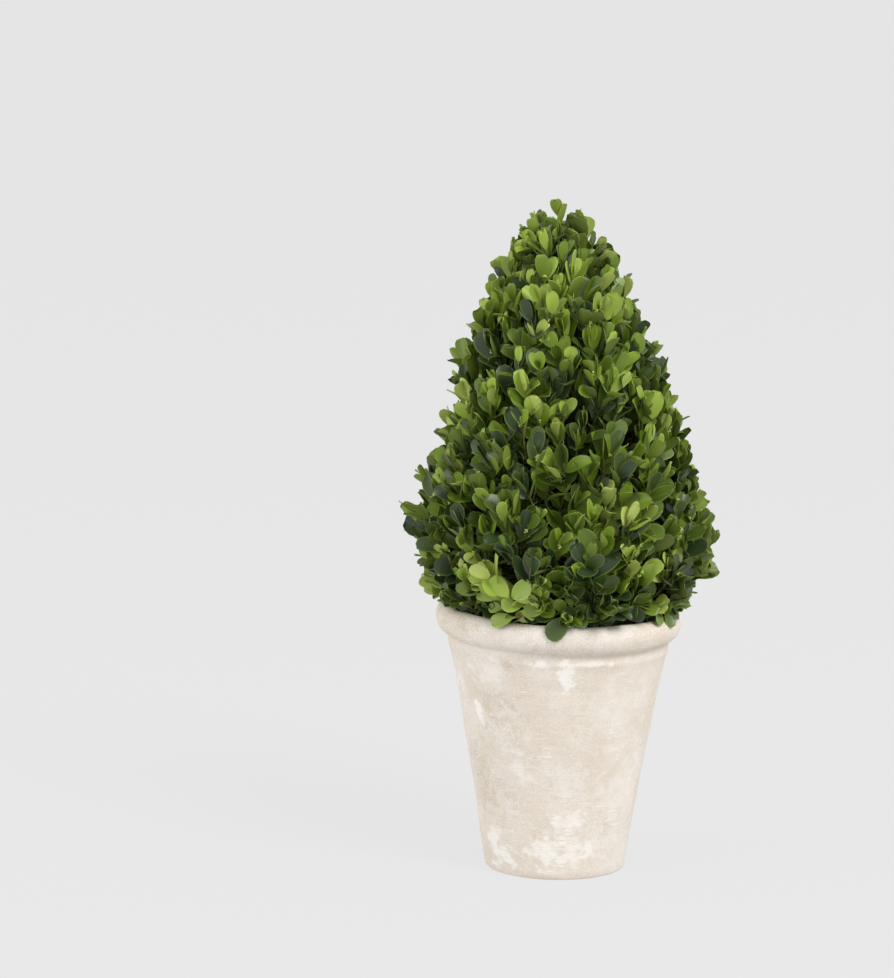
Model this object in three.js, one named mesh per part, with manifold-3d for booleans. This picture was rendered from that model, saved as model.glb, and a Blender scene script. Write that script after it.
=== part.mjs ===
// A clipped boxwood cone growing in a hand-thrown clay pot with a rolled rim.
// Millimetres, +Z up. The origin is the middle of the pot's flat underside, and -Y is the front.
// The sub-parts are the pot, the potting mix inside it, the short leaning stem, the clipped cone of
// foliage that hides the stem, and the loose sprigs that hang from the cone's foot over the rim.

import * as THREE from "three";
import { mergeVertices } from "three/addons/utils/BufferGeometryUtils.js";
import Module from "manifold-3d";

// ---- driving dimensions ----
const PLANT_HEIGHT = 432; // floor to the topmost leaf tip
const GAP = 0.4; // clearance between neighbouring solids

// pot
const FOOT_RADIUS = 45;
const FOOT_EDGE = 2; // rounding of the foot's edge
const NECK_RADIUS = 69.3; // top of the flaring wall
const NECK_HEIGHT = 142;
const LATE_FLARE = 0.2; // share of the flare that comes late, which leaves the side slightly hollow
const BAND_RADIUS = 70.3; // narrow band of slip between the wall and the roll
const BAND_STEP = 1.5; // height of the slope from the wall out to the band
const ROLL_FOOT = 149;
const ROLL_RADIUS = 78.5; // widest line of the rolled rim
const ROLL_WIDEST = 163;
const CREST_RADIUS = 72;
const CREST_HEIGHT = 170;
const MOUTH_RADIUS = 65.5;
const WALL = 8.5; // wall thickness below the rim
const FLOOR = 11; // thickness of the pot's floor
const OUT_OF_ROUND = 0.5; // how far the thrown wall strays from a circle at the rim
const RIM_SLOPE = 0.026; // the rim is lower on the +X side by this share of the distance from the axis

// potting mix
const MIX_TOP = 150.5;
const MIX_MIDDLE = 16; // radius of the level patch that carries the stem
const MIX_SHOULDER = 2.2; // how much lower the mix lies at the wall

// stem
const STEM_FOOT = MIX_TOP + 2 * GAP;
const STEM_TOP = 303.5;
const STEM_RADIUS = 5.6;
const STEM_TIP_RADIUS = 2.6;
const ROOT_FLARE = 4.4; // extra radius at the cut
const ROOT_LOBES = 5;
const FLARE_HEIGHT = 9;
const STEM_LEAN = 3.5; // sideways travel of the stem between its cut and its tip
const STEM_BOW = 1.5;

// crown
const CROWN_RADIUS = 95; // leaf tips at the widest line
const CROWN_WIDEST = 218;
const CROWN_FOOT = 173;
const CROWN_TUCK = 0.12; // share of the radius lost between the widest line and the foot
const CROWN_SHIFT = 2.6; // the cone stands a little to +X of the pot's middle
const TIER_PITCH = 39; // height of one tier of sprays
const TIER_SWELL = 1.2;
const TUFT_DEPTH = 8; // how deep the hollows between sprays are
const TUFT_LIFT = 2.5; // how far the upper tufts point upwards
const SLIM_RADIUS = 45; // tufts and tiers are shallower where the cone is slimmer than this
const PLUG_RADIUS = 57.5; // the part of the crown that sits inside the pot's mouth
const PLUG_FOOT = MIX_TOP + 4;

// loose sprigs: degrees is the place round the rim, and hang the angle below the roll's widest line
const SPRIG_THICKNESS = 3.6;
const SPRIG_STAND = SPRIG_THICKNESS / 2 + 1; // from the clay to the middle of the sprig
const SPRIG_ROOT = 50; // degrees above the roll's widest line
const SPRIGS = [
  { name: "sprig_front", degrees: -90, hang: 22, width: 13 },
  { name: "sprig_front_left", degrees: -113, hang: -8, width: 26 },
  { name: "sprig_right", degrees: -24, hang: 6, width: 18 },
  { name: "sprig_back_right", degrees: 58, hang: 12, width: 16 },
  { name: "sprig_back_left", degrees: 136, hang: 2, width: 22 },
];

// mesh steps
const ROUND_STEPS = 60; // facets round the pot and the mix
const CROWN_COLUMNS = 54; // a multiple of 3, so that the tufts meet evenly all the way round
const CROWN_ROWS = 27;
const STEM_SIDES = 16;
const SPRIG_SIDES = 12;
const SPRIG_RINGS = 9;

// ---- materials ----
const matt = (color, roughness) => new THREE.MeshStandardMaterial({ color, roughness, metalness: 0 });
const clay = matt(0xded5c6, 0.9);
const soil = matt(0x2e241b, 1);
const bark = matt(0x6f5d45, 0.85);
const foliage = matt(0x4c6426, 0.6);
const youngFoliage = matt(0x6d8a36, 0.6);

// ---- helpers ----
const plant = new THREE.Group();

function addPart(name, geometry, material) {
  const mesh = new THREE.Mesh(geometry, material);
  mesh.name = name;
  plant.add(mesh);
}

// A repeatable number from 0 to 1 for two whole numbers.
function chance(i, j) {
  const s = Math.sin(i * 127.1 + j * 311.7 + 17.3) * 43758.5453;
  return s - Math.floor(s);
}

// Points along an ellipse between two angles, given in turns of the full circle.
function ellipseArc(centreR, centreZ, radiusR, radiusZ, fromTurn, toTurn, steps) {
  const points = [];
  for (let i = 0; i <= steps; i++) {
    const a = 2 * Math.PI * (fromTurn + ((toTurn - fromTurn) * i) / steps);
    points.push([centreR + radiusR * Math.cos(a), centreZ + radiusZ * Math.sin(a)]);
  }
  return points;
}

// A closed surface of stacked rings, where ringPoint(row, turn) gives each vertex, turn being its place
// round the ring from 0 to 1. The first and last rings close on a single point each. Every second ring
// is turned by half a step, so that the faces are even triangles.
function ringSolid(rows, columns, bottom, top, ringPoint) {
  const vertices = [bottom];
  for (let row = 0; row < rows; row++)
    for (let column = 0; column < columns; column++)
      vertices.push(ringPoint(row, (column + 0.5 * (row % 2)) / columns));
  vertices.push(top);
  const at = (row, column) => 1 + row * columns + (column % columns);
  const last = vertices.length - 1;
  const faces = [];
  for (let column = 0; column < columns; column++) {
    faces.push(0, at(0, column + 1), at(0, column));
    for (let row = 0; row < rows - 1; row++) {
      const [left, right] = [at(row, column), at(row, column + 1)];
      const [upLeft, upRight] = [at(row + 1, column), at(row + 1, column + 1)];
      if (row % 2) faces.push(left, right, upRight, left, upRight, upLeft);
      else faces.push(left, right, upLeft, right, upRight, upLeft);
    }
    faces.push(at(rows - 1, column), at(rows - 1, column + 1), last);
  }
  const positions = new Float32Array(vertices.flatMap((v) => [v.x, v.y, v.z]));
  return new THREE.BufferGeometry()
    .setAttribute("position", new THREE.BufferAttribute(positions, 3))
    .setIndex(faces);
}

// A lathe about +Z from a profile of [radius, height] points.
function turned(profile) {
  const points = profile.map(([radius, z]) => new THREE.Vector2(radius, z));
  return new THREE.LatheGeometry(points, ROUND_STEPS).rotateX(Math.PI / 2);
}

// The slips of the potter's hand: the wall is a little out of round, and the rim slopes. The foot
// stays round and flat, and what grows over the rim follows it.
function thrown(geometry) {
  const position = geometry.getAttribute("position");
  for (let i = 0; i < position.count; i++) {
    const [x, y, z] = [position.getX(i), position.getY(i), position.getZ(i)];
    const up = Math.min(1, z / CREST_HEIGHT);
    const around = Math.atan2(y, x);
    const waves = Math.cos(2 * around + 0.7) + 0.5 * Math.sin(3 * around);
    const swell = 1 + (OUT_OF_ROUND / ROLL_RADIUS) * up * waves;
    position.setXYZ(i, x * swell, y * swell, z - RIM_SLOPE * x * up ** 3);
  }
  return geometry;
}

// ---- pot ----
// Outer radius of the flaring wall at a height.
function wallRadius(z) {
  const up = z / NECK_HEIGHT;
  return FOOT_RADIUS + (NECK_RADIUS - FOOT_RADIUS) * up * (1 - LATE_FLARE + LATE_FLARE * up);
}

function potProfile() {
  const points = [[0, 0], [FOOT_RADIUS - FOOT_EDGE, 0]];
  const wallSteps = 6;
  for (let i = 0; i <= wallSteps; i++) {
    const z = FOOT_EDGE + ((NECK_HEIGHT - FOOT_EDGE) * i) / wallSteps;
    points.push([wallRadius(z), z]);
  }
  points.push([BAND_RADIUS, NECK_HEIGHT + BAND_STEP]);
  const roll = [ROLL_RADIUS - BAND_RADIUS, ROLL_WIDEST - ROLL_FOOT];
  const lip = [ROLL_RADIUS - CREST_RADIUS, CREST_HEIGHT - ROLL_WIDEST];
  const mouth = [CREST_RADIUS - MOUTH_RADIUS, CREST_HEIGHT - ROLL_WIDEST];
  points.push(...ellipseArc(BAND_RADIUS, ROLL_WIDEST, ...roll, -0.25, 0, 6));
  points.push(...ellipseArc(CREST_RADIUS, ROLL_WIDEST, ...lip, 0, 0.25, 5).slice(1));
  points.push(...ellipseArc(CREST_RADIUS, ROLL_WIDEST, ...mouth, 0.25, 0.5, 3).slice(1));
  points.push([wallRadius(NECK_HEIGHT) - WALL, MIX_TOP]);
  points.push([wallRadius(FLOOR) - WALL, FLOOR], [0, FLOOR]);
  return points;
}

addPart("pot", thrown(turned(potProfile())), clay);

// ---- potting mix ----
// It fills the pot to a little under the mouth, and rises slightly towards the stem.
function mixRadius(z) {
  const up = (z - FLOOR) / (MIX_TOP - FLOOR);
  return THREE.MathUtils.lerp(wallRadius(FLOOR), wallRadius(NECK_HEIGHT), up) - WALL - GAP;
}

const mixProfile = [
  [0, FLOOR + GAP],
  [mixRadius(FLOOR + GAP), FLOOR + GAP],
  [mixRadius(MIX_TOP - MIX_SHOULDER), MIX_TOP - MIX_SHOULDER],
  [(mixRadius(MIX_TOP) + MIX_MIDDLE) / 2, MIX_TOP - MIX_SHOULDER / 3],
  [MIX_MIDDLE, MIX_TOP],
  [0, MIX_TOP],
];
addPart("potting_mix", thrown(turned(mixProfile)), soil);

// ---- stem ----
// A single short trunk with a flat cut where it stands on the mix, low root flares, a taper and a
// lean. grow widens it all round, which gives the clearance cut for the foliage.
const STEM_LIFTS = [0, 0.02, 0.05, 0.1, 0.2, 0.35, 0.5, 0.65, 0.8, 0.92, 1]; // ring heights, as shares
const STEM_END = 1.5; // height of the blunt end over the last ring

function stemAxis(share, z) {
  return new THREE.Vector3(STEM_LEAN * share ** 1.4, STEM_BOW * Math.sin(Math.PI * share), z);
}

function stemGeometry(grow) {
  const length = STEM_TOP - STEM_END - STEM_FOOT;
  const ringPoint = (row, turn) => {
    const share = STEM_LIFTS[row];
    const around = 2 * Math.PI * turn;
    const flare = ROOT_FLARE * Math.exp((-share * length) / FLARE_HEIGHT);
    const trunk = THREE.MathUtils.lerp(STEM_RADIUS, STEM_TIP_RADIUS, share);
    const radius = trunk + flare * (1 + 0.35 * Math.cos(ROOT_LOBES * around)) + grow;
    const axis = stemAxis(share, STEM_FOOT + length * share - (row === 0 ? grow : 0));
    return axis.add(new THREE.Vector3(radius * Math.cos(around), radius * Math.sin(around), 0));
  };
  const foot = stemAxis(0, STEM_FOOT - grow);
  const tip = stemAxis(1, STEM_TOP + grow);
  return ringSolid(STEM_LIFTS.length, STEM_SIDES, foot, tip, ringPoint);
}

addPart("stem", stemGeometry(0), bark);

// ---- crown ----
// One clipped cone of foliage: convex sides that draw in to a blunt tip, a foot that tucks in over
// the rim, and a surface broken by tufts, each a peak with six hollows round it.
function crownRadius(z) {
  if (z < CROWN_WIDEST) {
    const down = (CROWN_WIDEST - z) / (CROWN_WIDEST - CROWN_FOOT);
    return CROWN_RADIUS * (1 - CROWN_TUCK * down * down);
  }
  const up = Math.min(1, (z - CROWN_WIDEST) / (PLANT_HEIGHT - CROWN_WIDEST));
  return CROWN_RADIUS * (1 - up ** 1.1) ** 0.55;
}

// The underside, from the middle outwards: a plug in the pot's mouth, then a ledge over the rim.
const UNDERSIDE = [
  [20, PLUG_FOOT + 0.5],
  [42, PLUG_FOOT],
  [PLUG_RADIUS - 1.5, PLUG_FOOT + 1],
  [PLUG_RADIUS, CROWN_FOOT - 8],
  [PLUG_RADIUS + 3, CROWN_FOOT],
  [CREST_RADIUS + 1, CROWN_FOOT + 0.3],
];

function crownPoint(row, turn) {
  const around = 2 * Math.PI * turn;
  const shape = (radius, z) =>
    new THREE.Vector3(CROWN_SHIFT + radius * Math.cos(around), radius * Math.sin(around), z);
  if (row < UNDERSIDE.length) return shape(...UNDERSIDE[row]);
  // Rows crowd towards the tip, where the cone turns over.
  const climb = (row - UNDERSIDE.length) / (CROWN_ROWS - 1);
  const z = CROWN_FOOT + 1.5 + (PLANT_HEIGHT - CROWN_FOOT - 6) * (1.15 * climb - 0.15 * climb ** 3);
  const odd = row % 2;
  const step = Math.round(turn * CROWN_COLUMNS - odd / 2);
  const peak = (step + 2 * odd) % 3 === 0;
  const luck = chance(row, step);
  const tuft = peak ? 1 - 0.35 * luck : 0.5 * luck; // share of the way out to the leaf tips
  const width = crownRadius(z);
  const slim = Math.min(1, width / SLIM_RADIUS);
  const tier = Math.cos((2 * Math.PI * z) / TIER_PITCH + 2 * Math.sin(around + 1)) - 1;
  const radius = width + slim * (TIER_SWELL * tier - TUFT_DEPTH * (1 - tuft));
  return shape(radius, z + (peak ? TUFT_LIFT * slim * climb : 0));
}

const crownFoot = new THREE.Vector3(CROWN_SHIFT, 0, PLUG_FOOT + 0.5);
const crownTip = new THREE.Vector3(CROWN_SHIFT + 1, 0, PLANT_HEIGHT);
const crownRows = UNDERSIDE.length + CROWN_ROWS;
const crownGeometry = thrown(ringSolid(crownRows, CROWN_COLUMNS, crownFoot, crownTip, crownPoint));

// The foliage is cut round the stem, so that the trunk stays whole inside it.
const wasm = await Module();
wasm.setup();

function toSolid(geometry) {
  const merged = mergeVertices(geometry, 1e-3);
  return new wasm.Manifold(
    new wasm.Mesh({
      numProp: 3,
      vertProperties: new Float32Array(merged.getAttribute("position").array),
      triVerts: new Uint32Array(merged.index.array),
    }),
  );
}

function toGeometry(solid) {
  const mesh = solid.getMesh();
  return new THREE.BufferGeometry()
    .setAttribute("position", new THREE.BufferAttribute(new Float32Array(mesh.vertProperties), 3))
    .setIndex(new THREE.BufferAttribute(new Uint32Array(mesh.triVerts), 1));
}

addPart("crown", toGeometry(toSolid(crownGeometry).subtract(toSolid(stemGeometry(GAP)))), foliage);

// ---- loose sprigs ----
// Small sprays that have slipped out of the cone's foot and hang over the rim. Each is a thin tongue
// that follows the roll down from its crest, just clear of the clay.
SPRIGS.forEach(({ name, degrees, hang, width }, index) => {
  const { degToRad } = THREE.MathUtils;
  // The middle of the tongue at a share of its length from the root, and the way out from the clay.
  const middle = (share) => {
    const angle = degToRad(SPRIG_ROOT - (SPRIG_ROOT + hang) * share);
    const out = new THREE.Vector3(Math.cos(angle), 0, Math.sin(angle));
    const place = new THREE.Vector3(CREST_RADIUS, 0, ROLL_WIDEST);
    place.x += (ROLL_RADIUS - CREST_RADIUS + SPRIG_STAND) * out.x;
    place.z += (CREST_HEIGHT - ROLL_WIDEST + SPRIG_STAND) * out.z;
    return { place, out };
  };
  const ringPoint = (row, turn) => {
    const share = 1 - (row + 1) / (SPRIG_RINGS + 1); // the first ring is at the hanging tip
    const around = 2 * Math.PI * turn;
    const full = Math.sqrt(Math.sin(Math.PI * share));
    const uneven = 0.85 + 0.15 * chance(index * 31 + row, Math.round(turn * 2 * SPRIG_SIDES));
    const { place, out } = middle(share);
    place.addScaledVector(out, (SPRIG_THICKNESS / 2) * full * Math.cos(around));
    place.y += (width / 2) * full * uneven * Math.sin(around);
    return place;
  };
  const tongue = ringSolid(SPRIG_RINGS, SPRIG_SIDES, middle(1).place, middle(0).place, ringPoint);
  addPart(name, thrown(tongue.rotateZ(degToRad(degrees))), youngFoliage);
});

export default plant;
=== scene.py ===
"""A boxwood clipped to a leafy cone, growing in a whitewashed clay pot.

Everything is in metres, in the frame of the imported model: +Z up, the pot's flat underside at z = 0,
and the front towards -Y. The pieces follow the plant upwards from the pot.
"""

import math

import bpy
import numpy as np
from mathutils import Matrix, Vector, kdtree, noise


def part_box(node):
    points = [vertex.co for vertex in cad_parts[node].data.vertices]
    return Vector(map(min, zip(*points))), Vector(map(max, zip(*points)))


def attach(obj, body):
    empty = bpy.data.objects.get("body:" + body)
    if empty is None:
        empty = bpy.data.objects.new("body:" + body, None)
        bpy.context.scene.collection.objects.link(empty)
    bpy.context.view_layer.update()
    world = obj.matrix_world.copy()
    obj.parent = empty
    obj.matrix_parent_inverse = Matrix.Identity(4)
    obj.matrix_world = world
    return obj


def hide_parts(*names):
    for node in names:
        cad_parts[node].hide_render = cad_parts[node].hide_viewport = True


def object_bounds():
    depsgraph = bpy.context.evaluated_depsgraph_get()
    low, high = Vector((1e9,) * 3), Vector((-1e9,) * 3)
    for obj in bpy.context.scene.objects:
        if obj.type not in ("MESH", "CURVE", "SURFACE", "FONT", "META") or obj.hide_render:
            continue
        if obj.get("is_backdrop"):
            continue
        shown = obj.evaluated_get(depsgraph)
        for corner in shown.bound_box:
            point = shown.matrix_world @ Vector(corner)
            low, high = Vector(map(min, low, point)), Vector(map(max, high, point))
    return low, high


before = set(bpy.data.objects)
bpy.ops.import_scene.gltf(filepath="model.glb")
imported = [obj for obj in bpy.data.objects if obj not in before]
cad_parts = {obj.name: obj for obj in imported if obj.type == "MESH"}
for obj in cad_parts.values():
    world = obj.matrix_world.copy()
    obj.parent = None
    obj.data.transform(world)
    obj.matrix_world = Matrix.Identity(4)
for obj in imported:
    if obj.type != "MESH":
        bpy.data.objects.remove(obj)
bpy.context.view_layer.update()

# ---- the pot ----
# A flower pot thrown in coarse pale clay: a flat foot, a flaring wall, a narrow band of slip, and a
# rim rolled outwards. It was brushed with lime wash, and years outdoors wore the wash to patches.
# Turned from its section with a fine mesh, then pushed by hand-sized lumps, wheel marks and chips.
pot_low, pot_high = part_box("pot")
FOOT_RADIUS = 0.045
FOOT_EDGE = 0.002
NECK_RADIUS = 0.0693
NECK_HEIGHT = 0.142
LATE_FLARE = 0.2
BAND_RADIUS = 0.0703
BAND_TOP = 0.1435
ROLL_FOOT = 0.151
ROLL_RADIUS = 0.0785
ROLL_WIDEST = 0.163
CREST_RADIUS = 0.072
MOUTH_RADIUS = 0.0655
RIM_SLOPE = 0.026  # the rim is lower on the +X side by this share of the distance from the axis
CREST_HEIGHT = pot_high.z - RIM_SLOPE * CREST_RADIUS
POT_WALL = 0.0085
POT_FLOOR = 0.011
OUT_OF_ROUND = 0.0005
POT_COLUMNS = 320
POT_STEP = 0.00095  # spacing of the rings over what shows
INNER_WALL_TOP = ROLL_WIDEST - 0.0125
THUMB_STROKES = 4


def wall_radius(z):
    up = z / NECK_HEIGHT
    return FOOT_RADIUS + (NECK_RADIUS - FOOT_RADIUS) * up * (1 - LATE_FLARE + LATE_FLARE * up)


def arc(centre, radii, from_turn, to_turn, steps=24):
    """Points on an ellipse in the pot's section, between two angles in turns of the full circle."""
    turns = 2 * math.pi * np.linspace(from_turn, to_turn, steps)
    return np.stack([centre[0] + radii[0] * np.cos(turns), centre[1] + radii[1] * np.sin(turns)], 1)


def pot_section():
    """(radius, height) of each ring, from the foot's edge up over the rim and down to the floor."""
    heights = np.linspace(FOOT_EDGE, NECK_HEIGHT, 60)
    lip = CREST_HEIGHT - ROLL_WIDEST
    outside = np.concatenate([
        arc((FOOT_RADIUS - FOOT_EDGE, FOOT_EDGE), (FOOT_EDGE, FOOT_EDGE), -0.25, 0, 6),
        np.stack([wall_radius(heights), heights], 1),
        [(BAND_RADIUS, BAND_TOP)],
        arc((BAND_RADIUS, ROLL_WIDEST), (ROLL_RADIUS - BAND_RADIUS, ROLL_WIDEST - ROLL_FOOT), -0.25, 0),
        arc((CREST_RADIUS, ROLL_WIDEST), (ROLL_RADIUS - CREST_RADIUS, lip), 0, 0.25)[1:],
        arc((CREST_RADIUS, ROLL_WIDEST), (CREST_RADIUS - MOUTH_RADIUS, lip), 0.25, 0.5)[1:],
    ])
    run = np.concatenate([[0], np.cumsum(np.linalg.norm(np.diff(outside, axis=0), axis=1))])
    even = np.arange(0, run[-1], POT_STEP)
    shown = np.stack([np.interp(even, run, outside[:, 0]), np.interp(even, run, outside[:, 1])], 1)
    for _ in range(THUMB_STROKES):  # which soften every corner but the edge of the foot
        shown[3:-1] = (shown[2:-2] + 2 * shown[3:-1] + shown[4:]) / 4
    inside = np.linspace(INNER_WALL_TOP, POT_FLOOR, 12)
    hidden = np.stack([wall_radius(inside) - POT_WALL, inside], 1)
    return np.concatenate([[(FOOT_RADIUS / 2, 0)], shown, hidden, [(FOOT_RADIUS / 2, POT_FLOOR)]])


def thrown(points):
    """The slips of the potter's hand: a wall a little out of round, and a rim that slopes."""
    x, y, z = points.T
    up = np.clip(z / CREST_HEIGHT, 0, 1)
    around = np.arctan2(y, x)
    waves = np.cos(2 * around + 0.7) + 0.5 * np.sin(3 * around)
    swell = 1 + OUT_OF_ROUND / ROLL_RADIUS * up * waves
    return np.stack([x * swell, y * swell, z - RIM_SLOPE * x * up**3], 1)


def ring_faces(rings, columns):
    """Faces of a closed solid of rings, whose last two points are the middles of its ends."""
    faces = []
    for ring in range(rings - 1):
        for column in range(columns):
            a, b = ring * columns + column, ring * columns + (column + 1) % columns
            faces.append((a, b, b + columns, a + columns))
    top = (rings - 1) * columns
    first, last = rings * columns, rings * columns + 1
    for column in range(columns):
        after = (column + 1) % columns
        faces.append((first, after, column))
        faces.append((last, top + column, top + after))
    return faces


def smooth_mesh(name, points, faces):
    mesh = bpy.data.meshes.new(name)
    mesh.from_pydata(points, [], faces)
    mesh.polygons.foreach_set("use_smooth", [True] * len(mesh.polygons))
    return mesh


def turned_mesh(name, section, columns, shape):
    """A closed solid of rings about +Z, from (radius, height) rows that start and end near the axis."""
    turns = 2 * math.pi * np.arange(columns) / columns
    rings = np.stack([
        np.outer(section[:, 0], np.cos(turns)),
        np.outer(section[:, 0], np.sin(turns)),
        np.repeat(section[:, 1:], columns, 1),
    ], 2).reshape(-1, 3)
    ends = [(0, 0, section[0, 1]), (0, 0, section[-1, 1])]
    points = shape(np.concatenate([rings, ends]))
    return smooth_mesh(name, points.tolist(), ring_faces(len(section), columns))


# Where wash lies thick: (degrees round the pot, height, half width, half height, strength).
WASH = [
    (-86, 0.1370, 0.0042, 0.0080, 1.0),
    (-100, 0.1440, 0.0070, 0.0028, 0.8),
    (-74, 0.1450, 0.0200, 0.0020, 0.55),
    (-142, 0.1080, 0.0030, 0.0062, 1.0),
    (-132, 0.1360, 0.0160, 0.0090, 0.5),
    (-114, 0.0775, 0.0100, 0.0110, 0.5),
    (-108, 0.0930, 0.0050, 0.0080, 0.4),
    (-81, 0.0380, 0.0110, 0.0070, 0.6),
    (-95, 0.0200, 0.0140, 0.0110, 0.7),
    (-78, 0.0190, 0.0110, 0.0080, 0.6),
    (-64, 0.0200, 0.0060, 0.0045, 0.7),
    (-144, 0.0200, 0.0060, 0.0120, 0.85),
    (-130, 0.0115, 0.0046, 0.0060, 0.85),
    (-40, 0.0600, 0.0200, 0.0260, 0.35),
    (-50, 0.1120, 0.0240, 0.0140, 0.3),
    (20, 0.0850, 0.0120, 0.0300, 0.6),
    (48, 0.0300, 0.0200, 0.0140, 0.6),
    (75, 0.1200, 0.0080, 0.0100, 0.9),
    (100, 0.0350, 0.0180, 0.0200, 0.7),
    (122, 0.1440, 0.0160, 0.0026, 0.7),
    (150, 0.0700, 0.0070, 0.0180, 0.8),
    (178, 0.1250, 0.0200, 0.0120, 0.6),
]
# Where the clay is bare and dirty, in the same terms.
STAINS = [
    (-131, 0.1130, 0.0170, 0.0120, 0.55),
    (-117, 0.1400, 0.0045, 0.0070, 0.7),
    (-112, 0.0900, 0.0110, 0.0160, 0.5),
    (-150, 0.0600, 0.0140, 0.0260, 0.55),
    (-150, 0.1660, 0.0240, 0.0060, 0.55),
    (-112, 0.1700, 0.0360, 0.0030, 0.35),
    (-70, 0.1560, 0.0260, 0.0040, 0.35),
    (-96, 0.1560, 0.0160, 0.0050, 0.35),
    (-40, 0.1660, 0.0160, 0.0050, 0.2),
    (30, 0.1640, 0.0300, 0.0060, 0.7),
    (60, 0.0950, 0.0200, 0.0250, 0.6),
    (125, 0.1000, 0.0180, 0.0200, 0.7),
    (140, 0.1660, 0.0300, 0.0060, 0.8),
    (170, 0.0350, 0.0140, 0.0180, 0.7),
]


def daubed(points, ragged, places):
    """How strongly a set of daubs with ragged edges covers each point, from 0 to 1."""
    x, y, z = points.T
    covered = np.zeros(len(points))
    for degrees, height, half_width, half_height, strength in places:
        turn = np.remainder(np.arctan2(y, x) - math.radians(degrees) + math.pi, 2 * math.pi) - math.pi
        far = np.hypot(np.hypot(x, y) * turn / half_width, (z - height) / half_height)
        covered = np.maximum(covered, strength * np.clip(1.35 - 0.9 * far - 0.9 * ragged, 0, 1))
    return covered


def make_pot():
    mesh = turned_mesh("pot", pot_section(), POT_COLUMNS, thrown)
    points = np.array([v.co for v in mesh.vertices])
    torn, patchy, bare = [], [], []
    for point in map(Vector, points):
        tilted = Vector((point.x + 0.15 * point.z, point.y - 0.2 * point.z, point.z + 0.2 * point.x))
        torn.append(noise.fractal(tilted / 0.0056, 0.5, 2.1, 5))
        flat = Vector((tilted.x, tilted.y, tilted.z * 0.7))
        patchy.append(noise.fractal(flat / 0.014 + Vector((3, 1, 7)), 0.55, 2.1, 6))
        bare.append(noise.fractal(flat / 0.019 + Vector((8, 5, 2)), 0.55, 2.1, 6))
    torn, patchy, bare = np.array(torn), np.array(patchy), np.array(bare)
    wash = np.clip(np.maximum(daubed(points, torn, WASH), 0.46 * patchy - 0.1), 0, 1)
    stain = np.clip(np.maximum(daubed(points, torn, STAINS), 0.4 * bare - 0.1), 0, 1) * (1 - wash)
    normals = [v.normal.copy() for v in mesh.vertices]
    for vertex, normal, thick in zip(mesh.vertices, normals, wash):
        point = vertex.co.copy()
        if point.z < 0.0005:
            continue  # the underside stays flat
        lump = 0.00045 * noise.noise(point / 0.034) + 0.0002 * noise.noise(point / 0.011)
        wheel = 0.00009 * noise.noise(Vector((point.x * 9, point.y * 9, point.z / 0.0024)))
        grain = 0.00005 * noise.noise(point / 0.0015)
        at_foot = max(0, 1 - abs(point.z - FOOT_EDGE) / 0.003)
        at_crest = max(0, 1 - abs(point.z - CREST_HEIGHT) / 0.01)
        edge = at_foot + 0.5 * at_crest
        chip = -0.0011 * edge * max(0, noise.noise(point / 0.0062) - 0.28)
        rub = min(1, point.z / 0.004)
        vertex.co = point + normal * (rub * (lump + wheel) + grain + chip + 0.00012 * thick)
    for name, amounts in (("wash", wash), ("stain", stain)):
        layer = mesh.attributes.new(name, "FLOAT", "POINT")
        layer.data.foreach_set("value", amounts.astype(np.float32))
    return mesh


def srgb(red, green, blue):
    """A plain colour, from the three numbers from 0 to 255 that a paint chart gives."""
    parts = [c / 255 for c in (red, green, blue)]
    return [c / 12.92 if c < 0.04045 else ((c + 0.055) / 1.055) ** 2.4 for c in parts] + [1]


def wire(tree, kind, sockets, **settings):
    """Adds a node, and sets or links its sockets, each named by its name or its number."""
    made = tree.nodes.new(kind)
    for name, value in settings.items():
        setattr(made, name, value)
    for key, value in sockets.items():
        if isinstance(value, bpy.types.NodeSocket):
            tree.links.new(value, made.inputs[key])
        else:
            made.inputs[key].default_value = value
    return made


def spread(tree, value, low, high, to_low=0.0, to_high=1.0):
    """Maps a value from one range to another, clamped at both ends."""
    sockets = {0: value, 1: low, 2: high, 3: to_low, 4: to_high}
    return wire(tree, "ShaderNodeMapRange", sockets, clamp=True).outputs[0]


def blend(tree, share, first, second, how="MIX"):
    sockets = {0: share, 6: first, 7: second}
    return wire(tree, "ShaderNodeMix", sockets, data_type="RGBA", blend_type=how).outputs[2]


def add_up(tree, first, second, how="ADD"):
    return wire(tree, "ShaderNodeMath", {0: first, 1: second}, operation=how).outputs[0]


def new_material(name, finish):
    """A material and its Principled shader, with the plain numbers of its finish on the sockets."""
    material = bpy.data.materials.new(name)
    material.use_nodes = True
    shader = material.node_tree.nodes["Principled BSDF"]
    for socket, value in finish.items():
        shader.inputs[socket].default_value = value
    return material, material.node_tree, shader


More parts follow.
